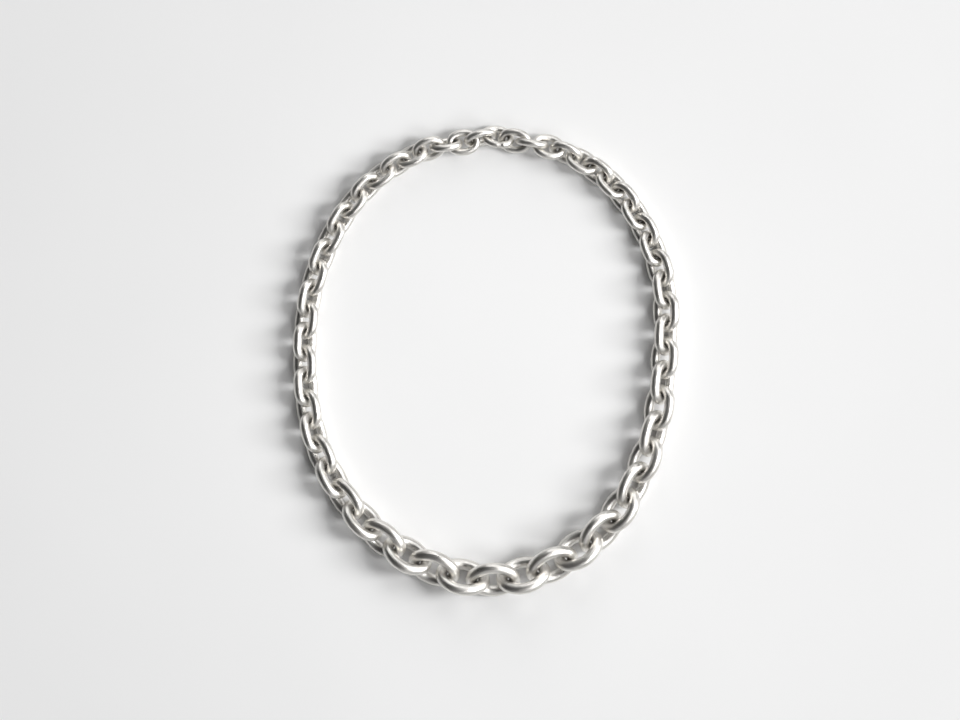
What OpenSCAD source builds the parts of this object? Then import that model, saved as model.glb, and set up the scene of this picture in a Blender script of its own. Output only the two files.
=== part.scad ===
// Link chain necklace: one closed loop of graduated oval links, lying flat.
// Millimetres. The loop lies on z = 0 about the origin, with its clasp towards +Y.
// Links are numbered clockwise from the middle of the front.

/* [Front links] */
// length of the largest link
front_length = 19.85; // [19.6:0.05:20]
// wire thickness of the largest link
front_wire = 4.15; // [4.05:0.05:4.2]

/* [Back links] */
// length of the smallest link
back_length = 12.3; // [12.2:0.05:12.7]
// wire thickness of the smallest link
back_wire = 2.6; // [2.45:0.05:2.65]

/* [Fit] */
// how much rounder than the wire each end is
end_room = 0.5; // [0.4:0.05:0.6]
// slack at every joint, on top of the chain's own
slack = 0; // [0:0.02:0.1]

/* [Clasp] */
// depth of the groove at the end of the clasp's gate
gate_depth = 0.35; // [0.2:0.05:0.5]
// width of the groove
gate_width = 1; // [0.6:0.1:1.4]

/* [Hidden] */
links = 56;
clasp_link = 30;
// bearing of link 1, and the loop's sampling step, in degrees
start = -88.1;
tick = 0.5;
// a thinner arc is this much thinner than the side arcs, and runs this many degrees into them
seam = 0.04;
lap = 2;
// an end arc's radius is at least this share of the half width, and less than it by this much
end_share = 0.79;
end_gap = 0.1;
// how far before the middle of the clasp's upper strand its groove lies
gate_shift = 0.9;

// bearing, radius of the loop's middle line, in even steps of bearing
course_step = 30;
course = [
    [-180, 65.4], [-150, 68.4], [-120, 74.0], [-90, 78.9],
    [-60, 75.5], [-30, 67.2], [0, 64.4], [30, 71.9],
    [60, 79.7], [90, 80.8], [120, 77.2], [150, 69.6],
];

// link, size from back (0) to front (1), play
grade = [
    [1, 1.02, 0.61], [3, 0.99, 0.56], [5, 0.86, 0.58], [7, 0.65, 0.41],
    [10, 0.44, 0.27], [13, 0.33, 0.21], [16, 0.29, 0.22], [19, 0.25, 0.20],
    [22, 0.11, 0.24], [25, 0.03, 0.54], [28, 0.00, 0.75], [31, 0.00, 0.90],
    [33, 0.01, 0.68], [36, 0.12, 0.47], [40, 0.14, 0.36], [43, 0.35, 0.38],
    [46, 0.45, 0.28], [48, 0.63, 0.26], [50, 0.74, 0.33], [53, 0.91, 0.56],
    [55, 1.03, 0.64], [57, 1.02, 0.61],
];

// size, share of the way from the back wire's thickness to the front wire's
heft = [[0, 0], [0.1, 0.22], [0.33, 0.42], [1, 1]];

// size, width as a share of length
fullness = [[0, 0.78], [0.36, 0.735], [0.64, 0.735], [1, 0.82]];

// link, lean from upright of even and of odd links
lean = [
    [1, 47, 43], [7, 47, 43], [10, 43, 43], [19, 43, 43],
    [22, 47, 45], [30, 50, 45], [34, 52, 52], [38, 53, 52],
    [41, 53, 50], [43, 52, 41], [48, 52, 38], [52, 49, 41],
    [57, 47, 43],
];

// link, own lean, shift inwards, turn: links that lie out of line
stray = [
    [3, 43, 0.2, 0], [26, 56, 0, 0], [27, 21, 0.5, -7], [28, 94, 0.9, -2.5],
    [29, -27, 0, 10.5], [30, -53, -0.3, -9.5], [31, -64, 0.6, -2], [32, -1, 0.5, 3],
    [33, 66, 0.1, 2], [34, 41, 0, 0], [53, 43, 0.2, 0], [54, 49, 0.3, 0],
    [55, 43, 0.2, 0],
];

// One link's own sizes

function read(table, key, column) = lookup(key, [for (row = table) [row[0], row[column]]]);
function ring(k) = (k - 1 + links) % links + 1;
function size(k) = read(grade, k, 1);
function wire(k) = back_wire + read(heft, size(k), 1) * (front_wire - back_wire);
function long(k) = back_length + size(k) * (front_length - back_length);
function pitch(k) = long(k) - 2 * wire(k) - read(grade, k, 2) - slack;
// half length and half width of the wire's middle line
function half_long(k) = (long(k) - wire(k)) / 2;
function half_wide(k) = (long(k) * read(fullness, size(k), 1) - wire(k)) / 2;
// radii of the end arcs and of the side arcs
function end_r(k) =
    min(max(wire(k) + end_room, end_share * half_wide(k)), half_wide(k) - end_gap);
function side_r(k) =
    let (a = half_long(k) - end_r(k), b = half_wide(k), r = end_r(k))
    (a * a + b * b - r * r) / (2 * (b - r));
// where an end arc passes into a side arc
function meet(k) = atan2(side_r(k) - half_wide(k), half_long(k) - end_r(k));
// reach of the middle line towards phi from the long axis
function reach(k, phi) =
    phi <= meet(k)
        ? (half_long(k) - end_r(k)) * cos(phi) + end_r(k)
        : (half_wide(k) - side_r(k)) * sin(phi) + side_r(k);

// The loop's middle line, sampled clockwise

function curve(a, b, c, d, u) =
    b + u / 2 * (c - a + u * (2 * a - 5 * b + 4 * c - d + u * (3 * (b - c) + d - a)));
function radius(t) =
    let (n = len(course), s = (t - course[0][0]) / course_step + n, i = floor(s), u = s - i)
    curve(course[(i - 1) % n][1], course[i % n][1], course[(i + 1) % n][1],
        course[(i + 2) % n][1], u);
function spot(t) = radius(t) * [cos(t), sin(t)];

ticks = 360 / tick;
spots = [for (i = [0 : ticks + 1]) spot(start - i * tick)];
runs = [for (i = 0, s = 0; i <= ticks; s = s + norm(spots[i + 1] - spots[i]), i = i + 1) s];
bearings = [for (i = [0 : ticks]) [runs[i], start - i * tick]];
pitches = [for (k = [1 : links]) pitch(k)];
ends = [for (k = 0, s = -pitches[0] / 2; k <= links; s = s + pitches[min(k, links - 1)], k = k + 1) s];
total = ends[links] - ends[0];
swell = total / runs[ticks];
// joint k lies between links k and k + 1
joints = [
    for (k = [0 : links])
        swell * spot(lookup((ends[k] + (k == 0 ? total : 0)) / swell, bearings))
];

// How each link lies

strays = [for (row = stray) row[0]];
function out(k) = k % 2 == 0 ? 1 : -1;
function own(k, column, usual) =
    let (i = search(k, strays)[0])
    i == undef ? usual : stray[i][column];
function tip(k) = own(k, 1, read(lean, k, k % 2 == 0 ? 1 : 2));
function inward(k) = own(k, 2, 0);
function turn(k) = own(k, 3, 0);

// height of a level link's middle on the surface, then carried by its neighbours
rests = [for (k = [1 : links]) half_wide(k) * cos(tip(k)) + wire(k) / 2];
function rest(k) = rests[ring(k) - 1];
function carried(k) = max(rest(k), (rest(k - 1) + rest(k + 1)) / 2);
function joint_z(k) = (carried(k) + carried(k + 1)) / 2;

function chord(k) = joints[k] - joints[k - 1];
function slope(k) = atan2(joint_z(k) - joint_z(k - 1), norm(chord(k)));
function heading(k) = atan2(chord(k)[1], chord(k)[0]) + turn(k);
// unit vectors along a link's length and width
function along(k) =
    let (h = heading(k), s = slope(k)) [cos(h) * cos(s), sin(h) * cos(s), sin(s)];
function across(k) =
    let (h = heading(k), s = slope(k), q = out(k) * sin(tip(k)), c = cos(tip(k)))
    [-cos(h) * sin(s) * c - sin(h) * q, -sin(h) * sin(s) * c + cos(h) * q, cos(s) * c];
// how far a link reaches from its middle along a unit vector
function span(k, way) =
    let (a = abs(along(k) * way), b = abs(across(k) * way))
    norm([a, b]) * reach(k, atan2(b, a)) + wire(k) / 2;
function middle(k) =
    let (c = (joints[k - 1] + joints[k]) / 2, u = chord(k) / norm(chord(k)))
    [
        c[0] + inward(k) * u[1],
        c[1] - inward(k) * u[0],
        max(span(k, [0, 0, 1]), (joint_z(k - 1) + joint_z(k)) / 2),
    ];

// the loop's box is centred on the origin
x_max = max([for (k = [1 : links]) middle(k)[0] + span(k, [1, 0, 0])]);
x_min = min([for (k = [1 : links]) middle(k)[0] - span(k, [1, 0, 0])]);
y_max = max([for (k = [1 : links]) middle(k)[1] + span(k, [0, 1, 0])]);
y_min = min([for (k = [1 : links]) middle(k)[1] - span(k, [0, 1, 0])]);
centre = [(x_max + x_min) / 2, (y_max + y_min) / 2, 0];

module lay(k) {
    translate(middle(k) - centre)
        rotate([0, -slope(k), heading(k)])
            rotate([90 - out(k) * tip(k), 0, 0])
                children();
}

module arc(x, y, r, thick, from, to) {
    translate([x, y, 0])
        rotate_extrude(angle = to - from, start = from, $fn = 48)
            translate([r, 0])
                circle(d = thick, $fn = 24);
}

// a piece of a link's upper strand
module strand(k, thick, from, to) {
    arc(0, half_wide(k) - side_r(k), side_r(k), thick, from, to);
}

// a link without its upper strand
module open_link(k) {
    x = half_long(k) - end_r(k);
    m = meet(k);
    arc(x, 0, end_r(k), wire(k) - seam, -m - lap, m + lap);
    arc(-x, 0, end_r(k), wire(k) - seam, 180 - m - lap, 180 + m + lap);
    arc(0, side_r(k) - half_wide(k), side_r(k), wire(k), 180 + m, 360 - m);
}

module link(k) {
    open_link(k);
    strand(k, wire(k), meet(k), 180 - meet(k));
}

// a link with the groove of a gate across its upper strand
module gated_link(k) {
    degrees = 180 / PI / side_r(k);
    before = 90 + (gate_shift - gate_width / 2) * degrees;
    after = 90 + (gate_shift + gate_width / 2) * degrees;
    open_link(k);
    strand(k, wire(k), meet(k), before);
    strand(k, wire(k) - 2 * gate_depth, before - lap, after + lap);
    strand(k, wire(k), after, 180 - meet(k));
}

module chain_left() {
    color("silver")
        for (k = [1 : clasp_link - 1])
            lay(k) link(k);
}

module chain_right() {
    color("silver")
        for (k = [clasp_link + 1 : links])
            lay(k) link(k);
}

module clasp() {
    color("gainsboro")
        lay(clasp_link) gated_link(clasp_link);
}

chain_left();
chain_right();
clasp();
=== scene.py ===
"""A necklace of graduated satin silver links on a pale table, seen from straight above.

Lengths are in metres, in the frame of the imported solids. Each solid of the frame is read for its
place and size, and a finer link of the same form stands in for it.
"""

import itertools
import math

import bmesh
import bpy
import numpy as np
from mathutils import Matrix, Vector


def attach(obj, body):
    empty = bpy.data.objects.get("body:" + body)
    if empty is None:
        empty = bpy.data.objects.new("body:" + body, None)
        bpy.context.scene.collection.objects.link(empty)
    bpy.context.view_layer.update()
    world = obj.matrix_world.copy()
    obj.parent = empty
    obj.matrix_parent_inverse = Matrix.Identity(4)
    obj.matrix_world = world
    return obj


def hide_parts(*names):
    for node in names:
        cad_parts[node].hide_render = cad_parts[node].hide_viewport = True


MM = 0.001

# The camera hangs straight over the table; at this height its view is this wide
CAMERA_SPOT = (-2.22 * MM, 0.33 * MM, 2500 * MM)
VIEW_WIDTH = 346.6 * MM
VIEW_HEIGHT = 4 * MM
SENSOR = 36.0
FAR_CLIP = 20.0

# Soft lights: name, bearing and height in degrees, power in watts, width and height
LIGHTS = (
    ("key", 1, 38, 135, (1.1, 2.6)),
    ("key_front", -40, 46, 41, (2.0, 2.0)),
    ("key_back", 40, 46, 31, (2.0, 2.0)),
    ("back", 90, 30, 44, (2.4, 2.4)),
    ("front", -90, 30, 12, (2.4, 2.4)),
)
LIGHT_DISTANCE = 4.0
ROOM_STRENGTH = 0.03

# Noise: streaks and grain have cells for each millimetre along and around the wire,
# patches and mottling for each metre; a noise seldom leaves its usual range
STREAK_CELLS = (0.17, 1.8, 1.0)
GRAIN_CELLS = (2.2, 5.0, 1.0)
PATCH_CELLS = 260.0
MOTTLE_CELLS = 9.0
USUAL = (0.3, 0.7)

# Silver where it is rubbed bright and where it is dark, and how dark it is: up to the first share
# in the streaks' bottoms, and between the two others inside the ends, where links hide each other;
# there the darkening is tarnish and painted shade
BRIGHT_SILVER = (0.88, 0.86, 0.82)
DARK_SILVER = (0.20, 0.18, 0.155)
STREAK_DARKNESS = 0.24
END_TARNISH_AND_SHADE = (0.7, 1.0)

# Roughness from the streaks' bottoms to their tops, what patches add or take, and relief
STREAK_ROUGHNESS = (0.46, 0.28)
PATCH_ROUGHNESS = (-0.04, 0.04)
STREAK_DEPTH = 0.11 * MM
GRAIN_DEPTH = 0.03 * MM

# The table is painted lighter round the necklace, a painted pool of light, and greys between these
# two distances from the middle of the necklace
TABLE_SIZE = 6.0
TABLE_NEAR = (0.93, 0.93, 0.93)
TABLE_FAR = (0.84, 0.84, 0.84)
TABLE_PAINTED_FALLOFF = (0.03, 0.2)
TABLE_PAINTED_FALLOFF_SHARE = 0.8
TABLE_ROUGHNESS = 0.8
TABLE_SPECULAR = 0.2

# How a link's ends are rounded: wider than the wire, and worn a little where the next link hangs
END_ROOM = 0.5 * MM
END_SHARE = 0.79
END_GAP = 0.1 * MM
END_WEAR = 0.04 * MM

# The groove at the end of the clasp's gate: it has a steep step on one side, a slope on the other
GATE_DEPTH = 0.35 * MM
GATE_WIDTH = 1.0 * MM
GATE_SHIFT = 0.9 * MM
GATE_SLOPE = 0.9 * MM
GATE_STEP = 0.15 * MM

# Mesh steps: along each side arc, along each end arc, and around the wire;
# along its sides the clasp has this many times as many, for its groove
SIDE_STEPS = 18
END_STEPS = 30
AROUND = 28
CLASP_FINER = 4

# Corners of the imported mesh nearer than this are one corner
WELD = 1e-7

# Links are counted clockwise from this bearing
FIRST_BEARING = math.radians(-83.5)

# Each link's map starts this many millimetres after the last one's, so that no two look alike
MAP_STRIDE = 100.0


# Reading the frame


def solids(node):
    """The separate solids of a CAD node: face centres, face areas and corners of each."""
    bm = bmesh.new()
    bm.from_mesh(node.data)
    bmesh.ops.remove_doubles(bm, verts=bm.verts, dist=WELD)
    seen = set()
    found = []
    for face in bm.faces:
        if face in seen:
            continue
        seen.add(face)
        group = [face]
        for member in group:
            for edge in member.edges:
                for near in edge.link_faces:
                    if near not in seen:
                        seen.add(near)
                        group.append(near)
        centres = np.array([f.calc_center_median() for f in group])
        areas = np.array([f.calc_area() for f in group])
        corners = np.array([v.co for f in group for v in f.verts])
        found.append((centres, areas, corners))
    bm.free()
    return found


def main_axes(centres, areas):
    """A ring's middle and its axes: along it, across it, and upwards out of its plane."""
    middle = (centres * areas[:, None]).sum(0) / areas.sum()
    off = centres - middle
    spread = (off * areas[:, None]).T @ off
    ways = np.linalg.eigh(spread)[1][:, ::-1].T
    along, across, out = ways
    if out[2] < 0:
        out = -out
    if across[2] < 0:
        across = -across
    along = np.cross(across, out)
    return middle, np.array([along, across, out])


def place_of(solid):
    """Where one ring lies and how big it is: its middle, axes, length, width and wire."""
    centres, areas, corners = solid
    middle, axes = main_axes(centres, areas)
    reach = (corners - middle) @ axes.T
    low, high = reach.min(0), reach.max(0)
    long, wide, wire = high - low
    middle = middle + ((low + high) / 2) @ axes
    return {"middle": middle, "axes": axes, "long": long, "wide": wide, "wire": wire}


def bearing_of(place):
    """How far round the loop a link lies, clockwise from the middle of the front."""
    x, y = place["middle"][:2]
    return (FIRST_BEARING - math.atan2(y, x)) % math.tau


# Building the links


def oval_path(place, finer=1):
    """The middle line of a link's wire.

    It holds spots, outward ways, lengths from the start, and how near an end each spot is.
    """
    a = (place["long"] - place["wire"]) / 2
    b = (place["wide"] - place["wire"]) / 2
    end_r = min(max(place["wire"] + END_ROOM, END_SHARE * b), b - END_GAP)
    x = a - end_r
    side_r = (x * x + b * b - end_r * end_r) / (2 * (b - end_r))
    y = side_r - b
    meet = math.atan2(y, x)
    arcs = [
        (x, 0, end_r, 0, meet, END_STEPS // 2),
        (0, -y, side_r, meet, math.pi - meet, SIDE_STEPS * finer),
        (-x, 0, end_r, math.pi - meet, math.pi + meet, END_STEPS),
        (0, y, side_r, math.pi + meet, math.tau - meet, SIDE_STEPS * finer),
        (x, 0, end_r, math.tau - meet, math.tau, END_STEPS // 2),
    ]
    spots, ways, runs, run = [], [], [], 0.0
    for cx, cy, r, first, last, steps in arcs:
        for i in range(steps):
            phi = first + (last - first) * i / steps
            spots.append((cx + r * math.cos(phi), cy + r * math.sin(phi)))
            ways.append((math.cos(phi), math.sin(phi)))
            runs.append(run + r * (phi - first))
        run += r * (last - first)
    runs.append(run)
    spots = np.array(spots)
    endness = np.clip((np.abs(spots[:, 0]) - x) / end_r, 0, 1)
    return {"spots": spots, "ways": np.array(ways), "runs": np.array(runs), "endness": endness,
            "side_r": side_r, "meet": meet, "end_r": end_r}


def wire_radii(place, path, gated):
    """The wire's radius at each spot of the path, with its wear at the ends and any groove."""
    radii = place["wire"] / 2 - END_WEAR / 2 * path["endness"] ** 2
    if not gated:
        return radii
    middle = path["end_r"] * path["meet"] + path["side_r"] * (math.pi / 2 - path["meet"])
    past = path["runs"][:-1] - (middle + GATE_SHIFT)
    steep = (past + GATE_WIDTH / 2) / GATE_STEP
    shallow = (GATE_WIDTH / 2 + GATE_SLOPE - past) / GATE_SLOPE
    return radii - GATE_DEPTH * np.clip(np.minimum(steep, shallow), 0, 1)


def sweep(name, number, place, gated=False):
    """One closed link as a mesh object, with a map of millimetres along and around its wire."""
    path = oval_path(place, CLASP_FINER if gated else 1)
    radii = wire_radii(place, path, gated)
    steps = len(radii)
    turns = np.arange(AROUND) / AROUND * math.tau - math.pi / 2
    outward = path["ways"][:, None, :] * (radii[:, None] * np.cos(turns))[:, :, None]
    flat = path["spots"][:, None, :] + outward
    rise = radii[:, None] * np.sin(turns)
    local = np.concatenate([flat, rise[:, :, None]], axis=2).reshape(-1, 3)
    points = place["middle"] + local @ place["axes"]

    faces, maps = [], []
    along = path["runs"] / MM + MAP_STRIDE * number
    girth = np.arange(AROUND + 1) / AROUND * math.pi * place["wire"] / MM
    for i in range(steps):
        for j in range(AROUND):
            i2, j2 = (i + 1) % steps, (j + 1) % AROUND
            faces.append((i * AROUND + j, i2 * AROUND + j, i2 * AROUND + j2, i * AROUND + j2))
            maps += [(along[i], girth[j]), (along[i + 1], girth[j]),
                     (along[i + 1], girth[j + 1]), (along[i], girth[j + 1])]

    mesh = bpy.data.meshes.new(name)
    mesh.from_pydata(points.tolist(), [], faces)
    mesh.uv_layers.new(name="wire").data.foreach_set("uv", np.array(maps).ravel())
    # The inner side of each end, where the next link hangs: the mask for tarnish and painted shade
    tarnish_and_shade_mask = path["endness"][:, None] * np.clip(-np.cos(turns), 0, 1)
    mesh.attributes.new("tarnish_and_shade_mask", "FLOAT", "POINT").data.foreach_set("value", tarnish_and_shade_mask.ravel())
    mesh.shade_smooth()
    piece = bpy.data.objects.new(name, mesh)
    bpy.context.scene.collection.objects.link(piece)
    return piece


def dress(node_name, numbers, silver, gated=False):
    """Stands a fine link in for each solid of a node, and counts the links on."""
    places = [place_of(solid) for solid in solids(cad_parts[node_name])]
    for place, number in zip(sorted(places, key=bearing_of), numbers):
        name = "clasp_link" if gated else f"link_{number:02d}"
        piece = sweep(name, number, place, gated)
        piece.data.materials.append(silver)
        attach(piece, "root")
        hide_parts(node_name)


# Materials


def blank(name):
    """A new node material, its tree and its shader."""
    material = bpy.data.materials.new(name)
    material.use_nodes = True
    tree = material.node_tree
    return material, tree, tree.nodes["Principled BSDF"]


def add(tree, kind, **values):
    """A new node; names that are inputs set the input, and the others set the node itself."""
    node = tree.nodes.new(kind)
    for key, value in values.items():
        if key in node.inputs:
            node.inputs[key].default_value = value
        else:
            setattr(node, key, value)
    return node


def noise(tree, vector, scale, detail=3.0, rough=0.5):
    """Noise over a vector that is scaled first, by one number or by one for each axis."""
    stretch = tree.nodes.new("ShaderNodeMapping")
    stretch.inputs["Scale"].default_value = scale if isinstance(scale, tuple) else (scale,) * 3
    tree.links.new(vector, stretch.inputs["Vector"])
    node = add(tree, "ShaderNodeTexNoise", Scale=1.0, Detail=detail, Roughness=rough)
    tree.links.new(stretch.outputs["Vector"], node.inputs["Vector"])
    return node.outputs["Fac"]


def remap(tree, value, low, high, to_low, to_high):
    """A value's range mapped onto another, clamped."""
    node = add(tree, "ShaderNodeMapRange")
    limits = {"From Min": low, "From Max": high, "To Min": to_low, "To Max": to_high}
    for key, number in limits.items():
        node.inputs[key].default_value = number
    tree.links.new(value, node.inputs["Value"])
    return node.outputs["Result"]


def combine(tree, operation, first, second):
    """Two values, sockets or numbers, joined by a math operation."""
    node = tree.nodes.new("ShaderNodeMath")
    node.operation = operation
    for socket, value in zip(node.inputs, (first, second)):
        if isinstance(value, (int, float)):
            socket.default_value = value
        else:
            tree.links.new(value, socket)
    return node.outputs["Value"]


def blend_colour(tree, share, first, second):
    """Two colours mixed by a share."""
    node = tree.nodes.new("ShaderNodeMix")
    node.data_type = "RGBA"
    node.inputs["A"].default_value = (*first, 1)
    node.inputs["B"].default_value = (*second, 1)
    tree.links.new(share, node.inputs["Factor"])
    return node.outputs["Result"]


def bump(tree, height, depth, normal=None):
    """A bump of this depth in metres, on top of another."""
    node = add(tree, "ShaderNodeBump", Strength=1.0, Distance=depth)
    tree.links.new(height, node.inputs["Height"])
    if normal is not None:
        tree.links.new(normal, node.inputs["Normal"])
    return node.outputs["Normal"]


def satin_silver():
    """Brushed sterling silver: streaks along the wire, fine grain, and tarnish and painted shade
    inside the ends.
    """
    material, tree, shader = blank("satin_silver")
    wire = add(tree, "ShaderNodeUVMap", uv_map="wire").outputs["UV"]
    space = add(tree, "ShaderNodeTexCoord").outputs["Object"]
    tarnish_and_shade_mask = add(tree, "ShaderNodeAttribute", attribute_name="tarnish_and_shade_mask").outputs["Fac"]

    streaks = noise(tree, wire, STREAK_CELLS, detail=5.0, rough=0.7)
    grain = noise(tree, wire, GRAIN_CELLS, detail=2.0)
    patches = noise(tree, space, PATCH_CELLS, detail=2.0)

    scored = remap(tree, streaks, 0.36, 0.6, STREAK_DARKNESS, 0.0)
    # Inside the ends the silver is darkened by tarnish and painted shade, where the links hide
    # each other
    tarnish_and_painted_shade = combine(tree, "MULTIPLY", tarnish_and_shade_mask, remap(tree, patches, *USUAL, *END_TARNISH_AND_SHADE))
    dark = combine(tree, "MAXIMUM", tarnish_and_painted_shade, scored)
    colour = blend_colour(tree, dark, BRIGHT_SILVER, DARK_SILVER)
    tree.links.new(colour, shader.inputs["Base Color"])

    satin = remap(tree, streaks, 0.35, 0.65, *STREAK_ROUGHNESS)
    rubbed = remap(tree, patches, *USUAL, *PATCH_ROUGHNESS)
    tree.links.new(combine(tree, "ADD", satin, rubbed), shader.inputs["Roughness"])

    brushed = bump(tree, streaks, STREAK_DEPTH)
    tree.links.new(bump(tree, grain, GRAIN_DEPTH, brushed), shader.inputs["Normal"])
    shader.inputs["Metallic"].default_value = 1.0
    return material


def table_white():
    """A matte white table top, faintly mottled, with a painted pool of light round the necklace
    that greys away from it.
    """
    material, tree, shader = blank("table_white")
    space = add(tree, "ShaderNodeTexCoord").outputs["Object"]
    away = tree.nodes.new("ShaderNodeVectorMath")
    away.operation = "LENGTH"
    tree.links.new(space, away.inputs[0])
    # Painted light: the table greys with distance from the necklace's middle
    painted_falloff = remap(tree, away.outputs["Value"], *TABLE_PAINTED_FALLOFF, 0.0, TABLE_PAINTED_FALLOFF_SHARE)
    mottles = noise(tree, space, MOTTLE_CELLS, detail=2.0)
    mottled = remap(tree, mottles, *USUAL, 0.0, 1 - TABLE_PAINTED_FALLOFF_SHARE)
    grey = combine(tree, "ADD", painted_falloff, mottled)
    tree.links.new(blend_colour(tree, grey, TABLE_NEAR, TABLE_FAR), shader.inputs["Base Color"])
    shader.inputs["Roughness"].default_value = TABLE_ROUGHNESS
    shader.inputs["Specular IOR Level"].default_value = TABLE_SPECULAR
    return material


# The studio


def make_floor():
    """The table top, a plane at the height of the links' lowest points."""
    bpy.ops.mesh.primitive_plane_add(size=TABLE_SIZE)
    floor = bpy.context.object
    floor.name = "table"
    floor.data.materials.append(table_white())


def soft_light(name, azimuth, height, power, size):
    """A soft oblong light that looks at the necklace from a bearing and a height in degrees."""
    data = bpy.data.lights.new(name, "AREA")
    data.shape = "RECTANGLE"
    data.size, data.size_y = size
    data.energy = power
    light = bpy.data.objects.new(name, data)
    a, h = math.radians(azimuth), math.radians(height)
    way = Vector((math.cos(a) * math.cos(h), math.sin(a) * math.cos(h), math.sin(h)))
    light.location = way * LIGHT_DISTANCE
    light.rotation_euler = way.to_track_quat("Z", "Y").to_euler()
    light.visible_camera = False
    bpy.context.scene.collection.objects.link(light)


def make_studio():
    """The soft lights, the strongest from the right, in a dim room, and the camera overhead."""
    for light in LIGHTS:
        soft_light(*light)
    world = bpy.data.worlds.new("room")
    world.use_nodes = True
    background = world.node_tree.nodes["Background"]
    background.inputs["Color"].default_value = (1, 1, 1, 1)
    background.inputs["Strength"].default_value = ROOM_STRENGTH
    scene = bpy.context.scene
    scene.world = world
    scene.view_settings.view_transform = "Standard"

    data = bpy.data.cameras.new("overhead")
    data.sensor_width = SENSOR
    data.lens = SENSOR * (CAMERA_SPOT[2] - VIEW_HEIGHT) / VIEW_WIDTH
    data.clip_end = FAR_CLIP
    camera = bpy.data.objects.new("overhead", data)
    camera.location = CAMERA_SPOT
    scene.collection.objects.link(camera)
    scene.camera = camera


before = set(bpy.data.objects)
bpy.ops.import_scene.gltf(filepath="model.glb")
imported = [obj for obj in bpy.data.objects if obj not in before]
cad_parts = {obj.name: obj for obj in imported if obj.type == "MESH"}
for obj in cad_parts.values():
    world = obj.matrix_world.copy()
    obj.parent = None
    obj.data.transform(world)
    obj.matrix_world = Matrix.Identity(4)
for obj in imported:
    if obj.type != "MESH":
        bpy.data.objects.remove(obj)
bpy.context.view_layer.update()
silver = satin_silver()
numbers = itertools.count(1)
dress("chain_left", numbers, silver)
dress("clasp", numbers, silver, gated=True)
dress("chain_right", numbers, silver)
make_floor()
make_studio()
